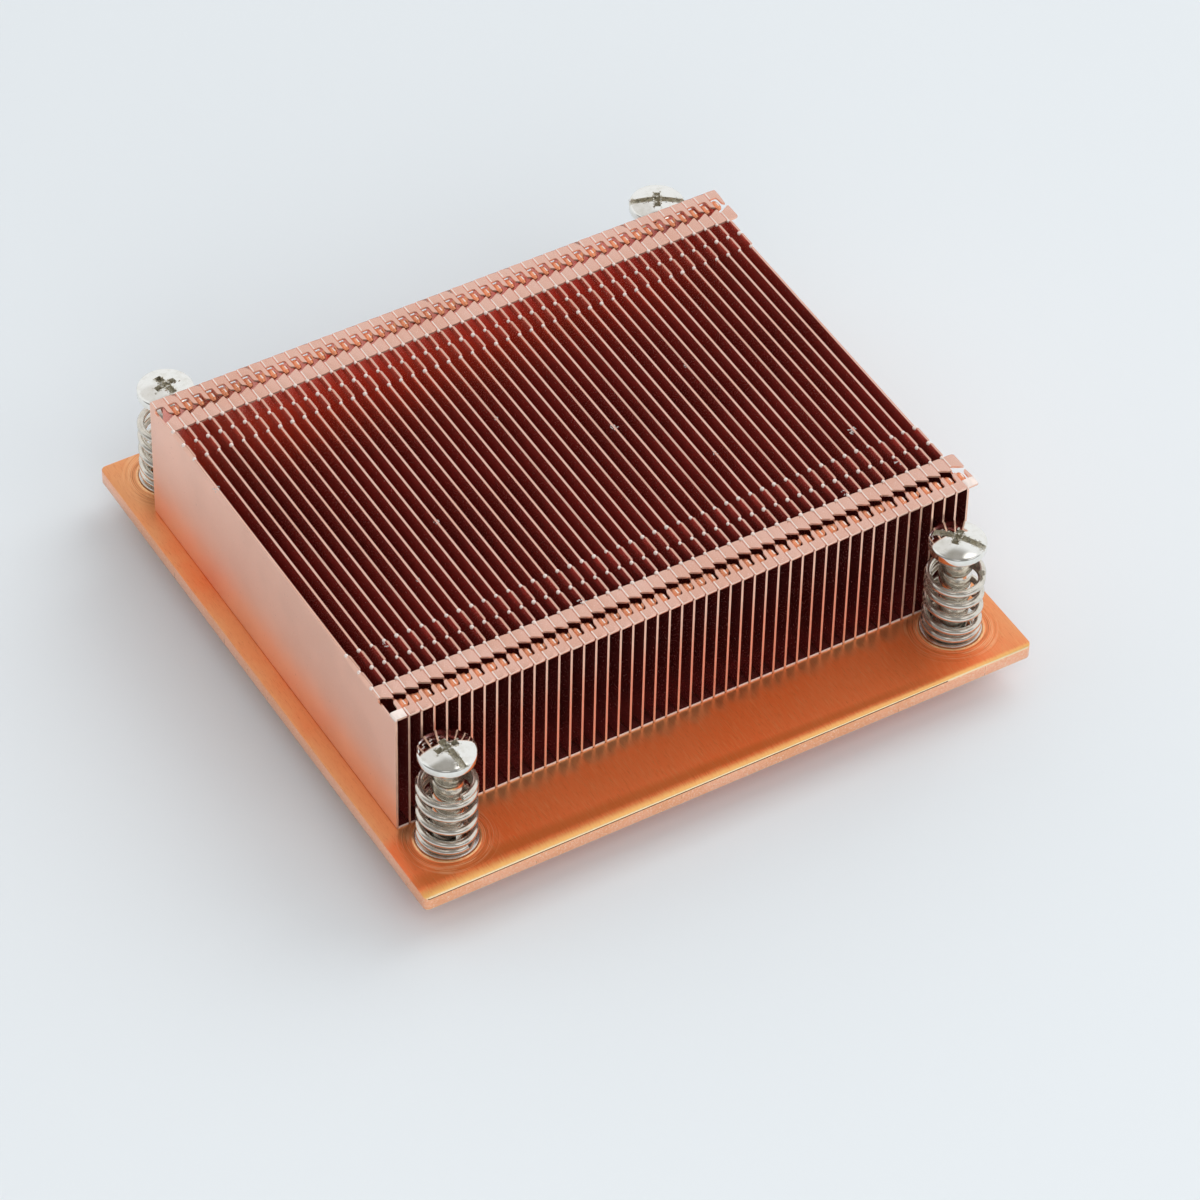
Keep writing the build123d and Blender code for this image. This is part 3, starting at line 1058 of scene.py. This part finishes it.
    def roll_share(self, settings, x):
        """The roll's width at this place, as a share of its width at the left end."""
        return 1 + (settings.roll_end - 1) * (x - plate_low.x) / (plate_high.x - plate_low.x)

    def pedestal(self):
        """The raised block under the plate, with a broken edge round its contact face."""
        made = block((-PEDESTAL_HALF, -PEDESTAL_HALF, 0), (PEDESTAL_HALF, PEDESTAL_HALF, PLATE_UNDER + 0.05))
        upright = [edge for edge in made.edges if abs(edge.verts[0].co.z - edge.verts[1].co.z) > 1]
        round_edges(made, upright, PEDESTAL_CORNER, 4)
        foot = [edge for edge in made.edges if all(vert.co.z < 1e-3 for vert in edge.verts)]
        round_edges(made, foot, PEDESTAL_BREAK, 2)
        return made


# ---------------------------------------------------------------- fasteners

# The recess on each head as found: its turn in degrees, how far the slot reaches each way, and its crossing arms.
HEAD_MARKS = {
    "front_left": (-84.5, 3.75, 1.4, 2.1),
    "front_right": (-53.0, 3.95, 3.3, 1.75),
    "back_left": (-80.0, 1.9, 1.9, 2.0),
    "back_right": (-28.0, 3.95, 3.95, 1.8),
}


class HEATSINK_OT_screws(Operator):
    """Builds the captive screws with domed heads, recesses and threads"""

    bl_idname = "heatsink.screws"
    bl_label = "Captive Screws"

    def execute(self, context):
        settings = context.scene.heatsink_screws
        materials = [polished_nickel(settings), recess_metal(settings), neck_nickel_painted_bright(settings)]
        for corner, (x, y) in screw_places().items():
            top = box_mm("screw_" + corner)[1].z
            tool = self.recess(settings, top, *HEAD_MARKS[corner])
            made = carved(self.shaft_and_head(settings, top), tool, materials)
            self.add_burrs(made, settings, top, *HEAD_MARKS[corner])
            merge(made, self.thread(settings))
            name = "captive_screw_" + corner
            finish_piece(made, name, materials, "screw_" + corner, ["screw_" + corner], (x, y, 0))
        return {"FINISHED"}

    def shaft_and_head(self, settings, top):
        """The screw without its recess and thread, turned from its profile."""
        radius, dome = settings.head_radius / MM, settings.dome_drop / MM
        seat = top - HEAD_HEIGHT
        core = THREAD_RADIUS - settings.thread_depth / MM
        groove_low, groove_high = RING_LOW - RING_GAP, RING_HIGH + RING_GAP
        profile = [
            (0.0, 0.0), (core - 0.2, 0.0), (core, 0.3), (core, RING_LOW - 0.35), (THREAD_RADIUS, RING_LOW - 0.2),
            (THREAD_RADIUS, groove_low), (GROOVE_RADIUS, groove_low), (GROOVE_RADIUS, groove_high),
            (SHANK_RADIUS - 0.15, groove_high), (SHANK_RADIUS, RING_HIGH + 0.2), (SHANK_RADIUS, seat - 0.18),
            (SHANK_RADIUS + 0.05, seat - 0.05), (SHANK_RADIUS + 0.18, seat), (radius - 0.2, seat),
            (radius - 0.06, seat + 0.04), (radius, seat + 0.16), (radius, top - dome - 0.14),
            (radius - 0.04, top - dome - 0.02), (radius - 0.14, top - dome + 0.07),
        ]
        for part in (0.93, 0.86, 0.76, 0.64, 0.5, 0.34, 0.17):
            profile.append((radius * part, top - dome * 0.94 * part ** 2))
        profile.append((0.0, top))
        made = turned(profile, 64)
        for face in made.faces:
            centre = face.calc_center_median()
            if seat - NECK_SHOWN < centre.z < seat and math.hypot(centre.x, centre.y) < SHANK_RADIUS + 0.25:
                face.material_index = NECK
        return made

    def add_burrs(self, made, settings, top, turn, ahead, behind, arm):
        """Small burrs thrown up along the sides of the slot and of its crossing arms by a slipped driver."""
        chance = random.Random(round(turn * 10))
        radius, dome = settings.head_radius / MM, settings.dome_drop / MM
        wide = settings.slot_width / MM / 2
        spots = []
        for side in (-1, 1):
            spots += [(chance.uniform(-behind, ahead), side * wide) for _ in range(22)]
            spots += [(side * wide * 0.9, chance.uniform(-arm, arm)) for _ in range(14)]
        turned_by = Matrix.Rotation(math.radians(turn), 3, "Z")
        for along, across in spots:
            burr = bmesh.new()
            bmesh.ops.create_icosphere(burr, subdivisions=1, radius=chance.uniform(0.08, 0.24))
            resize(burr, [chance.uniform(0.5, 1.3), chance.uniform(0.4, 1.0), chance.uniform(0.4, 1.0)])
            away = min(math.hypot(along, across) / radius, 0.97)
            drop = dome * 0.94 * away ** 2 + chance.uniform(0.0, 0.08)
            move(burr, turned_by @ Vector((along, across + chance.uniform(-0.05, 0.05), top - drop)))
            for face in burr.faces:
                face.material_index = RECESS if chance.random() < 0.6 else 0
            merge(made, burr)

    def recess(self, settings, top, turn, ahead, behind, arm):
        """The slot, the crossing arms and the pit in the middle, joined in one cutting shape."""
        wide = settings.slot_width / MM / 2
        floor = top - settings.slot_depth / MM
        slot = block((-behind, -wide, floor), (ahead, wide, top + 1))
        cross = block((-wide * 0.9, -arm, floor - 0.35), (wide * 0.9, arm, top + 1))
        for shape, narrowed in ((slot, (1, 0.8, 1)), (cross, (0.75, 0.6, 1))):
            resize(shape, narrowed, [vert for vert in shape.verts if vert.co.z < top])
        merge(slot, cross)
        merge(slot, turned([(0.0, floor - 0.8), (0.35, floor - 0.7), (0.95, top + 0.6), (0.0, top + 0.6)], 16))
        turn_by(slot, math.radians(turn))
        paint(slot, RECESS)
        return slot

    def thread(self, settings):
        """A ridge led up round the shank to just under the ring."""
        pitch, start, steps_per_turn = settings.thread_pitch / MM, 0.2, 28
        turns = int((RING_LOW - 0.4 - 0.3) / pitch)
        root = THREAD_RADIUS - settings.thread_depth / MM - 0.05
        ridge = (
            (root, start), (THREAD_RADIUS, start + pitch * 0.45), (THREAD_RADIUS, start + pitch * 0.55),
            (root, start + pitch),
        )
        made = bmesh.new()
        face = made.faces.new([made.verts.new((radius, 0, height)) for radius, height in ridge])
        wind([face], made, turns, turns * steps_per_turn, -pitch * turns)
        face_out(made)
        return made


class HEATSINK_OT_springs(Operator):
    """Builds the compression springs with closed, cut ends"""

    bl_idname = "heatsink.springs"
    bl_label = "Compression Springs"

    # Direction of each spring's upper end, in degrees, as found.
    ends = {"front_left": -87.5, "front_right": -38.0, "back_left": -120.0, "back_right": -60.0}

    def execute(self, context):
        settings = context.scene.heatsink_springs
        dark = shaded(settings.steel, 0.85)
        steel = drawn_steel("drawn spring steel", settings.steel, dark, 0.12, (1600.0, 1600.0, 2400.0), 0.92)
        floor = box_mm("spring_washers")[1].z
        for corner, (x, y) in screw_places().items():
            top = box_mm("spring_" + corner)[1].z
            made = self.coil(settings, floor, top)
            turn_by(made, math.radians(self.ends[corner]))
            name = "coil_spring_" + corner
            piece = finish_piece(made, name, [steel], "heatsink", ["spring_" + corner], (x, y, 0))
            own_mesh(piece)
        return {"FINISHED"}

    def coil(self, settings, floor, top):
        """Wire led round the upright axis, with one closed turn at each end."""
        wire = settings.wire / MM
        end_drop = wire + SPRING_END_GAP
        middle_drop = top - floor - wire - 2 * end_drop
        made = bmesh.new()
        bmesh.ops.create_circle(made, cap_ends=True, radius=wire / 2, segments=settings.wire_sides)
        turn_by(made, math.radians(90), "X")
        move(made, (settings.coil_radius / MM, 0, top - wire / 2))
        end = made.faces[:]
        for turns, drop in ((1.0, end_drop), (settings.turns - 2, middle_drop), (1.0, end_drop)):
            steps = round(turns * settings.steps_per_turn)
            end = of_kind(wind(end, made, turns, steps, drop), bmesh.types.BMFace)
        face_out(made)
        for cap in [face for face in made.faces if len(face.verts) > 4]:
            round_edges(made, cap.edges[:], 0.05)
        return made


class HEATSINK_OT_washers(Operator):
    """Builds the flat washers under the springs"""

    bl_idname = "heatsink.washers"
    bl_label = "Washers"

    def execute(self, context):
        settings = context.scene.heatsink_springs
        low, high = box_mm("spring_washers")
        steel = drawn_steel("washer steel", settings.washer_steel, (0.62, 0.60, 0.55), 0.16, (3000.0, 3000.0, 900.0))
        profile = [
            (WASHER_HOLE, low.z), (WASHER_RADIUS - 0.12, low.z), (WASHER_RADIUS, low.z + 0.1),
            (WASHER_RADIUS, high.z - 0.14), (WASHER_RADIUS - 0.04, high.z - 0.05), (WASHER_RADIUS - 0.14, high.z),
            (WASHER_HOLE + 0.08, high.z), (WASHER_HOLE, high.z - 0.08), (WASHER_HOLE, low.z),
        ]
        made = bmesh.new()
        for x, y in screw_places().values():
            washer = turned(profile, 64)
            move(washer, (x, y, 0))
            merge(made, washer)
        finish_piece(made, "flat_washers", [steel], "heatsink", ["spring_washers"])
        return {"FINISHED"}


class HEATSINK_OT_retaining_rings(Operator):
    """Builds the snap rings that hold the screws under the plate"""

    bl_idname = "heatsink.retaining_rings"
    bl_label = "Retaining Rings"

    def execute(self, context):
        settings = context.scene.heatsink_springs
        dark = shaded(settings.ring_steel, 0.7)
        steel = drawn_steel("retaining ring steel", settings.ring_steel, dark, 0.28, (2000.0, 2000.0, 2000.0))
        for corner, (x, y) in screw_places().items():
            node = "retaining_ring_" + corner
            low, high = box_mm(node)
            made = bmesh.new()
            bmesh.ops.create_circle(made, cap_ends=False, radius=RING_RADIUS, segments=64)
            ring_outward(made, made.edges[:], (0, 0), GROOVE_RADIUS + RING_GAP, 0)
            centres = {face: face.calc_center_median() for face in made.faces}
            mouth = [face for face, centre in centres.items() if centre.x > 0 and abs(centre.y) < RING_MOUTH_HALF]
            bmesh.ops.delete(made, geom=mouth, context="FACES")
            face_out(made)
            body = bmesh.ops.extrude_face_region(made, geom=made.faces[:], use_keep_orig=True)["geom"]
            bmesh.ops.translate(made, vec=(0, 0, high.z - low.z), verts=of_kind(body, bmesh.types.BMVert))
            face_out(made)
            round_edges(made, sharp_edges(made), 0.05)
            name, body_name = "snap_ring_" + corner, "ring_" + corner
            finish_piece(made, name, [steel], body_name, [node], (x, y, low.z))
        return {"FINISHED"}


# ---------------------------------------------------------------- stage


class HEATSINK_OT_stage(Operator):
    """Sets the pale table, the soft studio light and the camera"""

    bl_idname = "heatsink.stage"
    bl_label = "Stage"

    # Direction of each soft window and the cosines from its middle at which it starts and is full.
    window_places = (
        ((0.0, 0.6, 0.8), 0.95, 0.985),
        ((0.37, 0.0, 0.93), 0.982, 0.993),
        ((0.37, -0.70, 0.61), 0.955, 0.985),
        ((-0.30, -0.45, 0.84), 0.975, 0.992),
    )

    # The place that the camera aims at, in metres.
    camera_aim = Vector((0.00248, -0.007438, 0.002907))

    def execute(self, context):
        settings = context.scene.heatsink_stage
        self.table(settings)
        self.tent(context, settings)
        self.lamp("key lamp", settings.key, 1.1, (0.95, 0.30, 1.0))
        self.lamp("front lamp", settings.fill, 1.6, (-0.15, -1.08, 0.92))
        self.lamp("low lamp", settings.low, 0.7, (-0.45, -1.05, 0.42), (0.0, 0.0, 0.01))
        self.camera(context, settings)
        context.scene.view_settings.view_transform = "Standard"
        return {"FINISHED"}

    def table(self, settings):
        """A flat table under the heatsink."""
        made = bmesh.new()
        bmesh.ops.create_grid(made, x_segments=8, y_segments=8, size=3.0)
        placed("table", mesh_of(made, "table", [table_paper(settings)]))

    def tent(self, context, settings):
        """A light tent, pale behind, grey overhead and darker on the camera's side."""
        world = bpy.data.worlds.new("light tent")
        context.scene.world = world
        world.use_nodes = True
        graph = Graph(world.node_tree, "Generated")
        turn = settings.camera_turn
        toward = graph.part("X") * math.sin(turn) - graph.part("Y") * math.cos(turn)
        rise = graph.part("Z")
        tone = graph.mix(rise.between(0.86, 0.95), settings.sky, settings.roof)
        tone = graph.mix(toward.between(-0.05, 0.3), tone, settings.front)
        for level, ((x, y, z), start, full) in zip((*settings.windows, settings.strip), self.window_places):
            facing = graph.part("X") * x + graph.part("Y") * y + rise * z
            tone = graph.mix(facing.between(start, full), tone, (level, level, level))
        background = world.node_tree.nodes["Background"]
        graph.feed(background.inputs["Color"], tone)
        background.inputs["Strength"].default_value = settings.tent

    def lamp(self, name, energy, size, place, aim=(0.0, 0.0, 0.0)):
        """A round lamp that polished metal doesn't mirror."""
        light = bpy.data.lights.new(name, "AREA")
        light.shape = "DISK"
        light.size = size
        light.energy = energy
        lamp = placed(name, light)
        lamp.visible_glossy = False
        lamp.location = place
        lamp.rotation_mode = "QUATERNION"
        lamp.rotation_quaternion = (Vector(aim) - lamp.location).to_track_quat("-Z", "Y")

    def camera(self, context, settings):
        """The camera as fitted to the photograph."""
        turn, rise, roll = settings.camera_turn, settings.camera_rise, settings.camera_roll
        back = Vector((math.sin(turn) * math.cos(rise), -math.cos(turn) * math.cos(rise), math.sin(rise)))
        right = Vector((math.cos(turn), math.sin(turn), 0.0))
        up = back.cross(right)
        level = Matrix((right, up, back)).transposed()
        data = bpy.data.cameras.new("camera")
        data.lens = settings.camera_lens
        data.sensor_width = 36.0
        data.clip_start = 0.01
        data.clip_end = 20.0
        camera = placed("camera", data)
        camera.location = self.camera_aim + back * settings.camera_distance
        camera.rotation_mode = "QUATERNION"
        camera.rotation_quaternion = (level @ Matrix.Rotation(roll, 3, "Z")).to_quaternion()
        context.scene.camera = camera


# ---------------------------------------------------------------- panel and registration


class HEATSINK_PT_panel(Panel):
    bl_idname = "HEATSINK_PT_panel"
    bl_label = "Heatsink"
    bl_space_type = "VIEW_3D"
    bl_region_type = "UI"
    bl_category = "Heatsink"

    def draw(self, context):
        layout = self.layout
        for operator, group in STEPS:
            layout.operator(operator.bl_idname)
            settings = getattr(context.scene, group)
            for name in settings.__annotations__:
                layout.prop(settings, name)


GROUPS = {
    "heatsink_plate": HeatsinkPlateSettings,
    "heatsink_fins": HeatsinkFinSettings,
    "heatsink_screws": HeatsinkScrewSettings,
    "heatsink_springs": HeatsinkSpringSettings,
    "heatsink_stage": HeatsinkStageSettings,
}
STEPS = (
    (HEATSINK_OT_base_plate, "heatsink_plate"),
    (HEATSINK_OT_fins, "heatsink_fins"),
    (HEATSINK_OT_screws, "heatsink_screws"),
    (HEATSINK_OT_springs, "heatsink_springs"),
    (HEATSINK_OT_washers, "heatsink_springs"),
    (HEATSINK_OT_retaining_rings, "heatsink_springs"),
    (HEATSINK_OT_stage, "heatsink_stage"),
)


def register():
    for group in GROUPS.values():
        bpy.utils.register_class(group)
    for operator, _ in STEPS:
        bpy.utils.register_class(operator)
    bpy.utils.register_class(HEATSINK_PT_panel)
    for name, group in GROUPS.items():
        setattr(bpy.types.Scene, name, PointerProperty(type=group))


def unregister():
    for name in GROUPS:
        delattr(bpy.types.Scene, name)
    bpy.utils.unregister_class(HEATSINK_PT_panel)
    for operator, _ in reversed(STEPS):
        bpy.utils.unregister_class(operator)
    for group in reversed(GROUPS.values()):
        bpy.utils.unregister_class(group)


def main():
    register()
    for operator, _ in STEPS:
        family, name = operator.bl_idname.split(".")
        getattr(getattr(bpy.ops, family), name)()


if __name__ == "__main__":
    main()
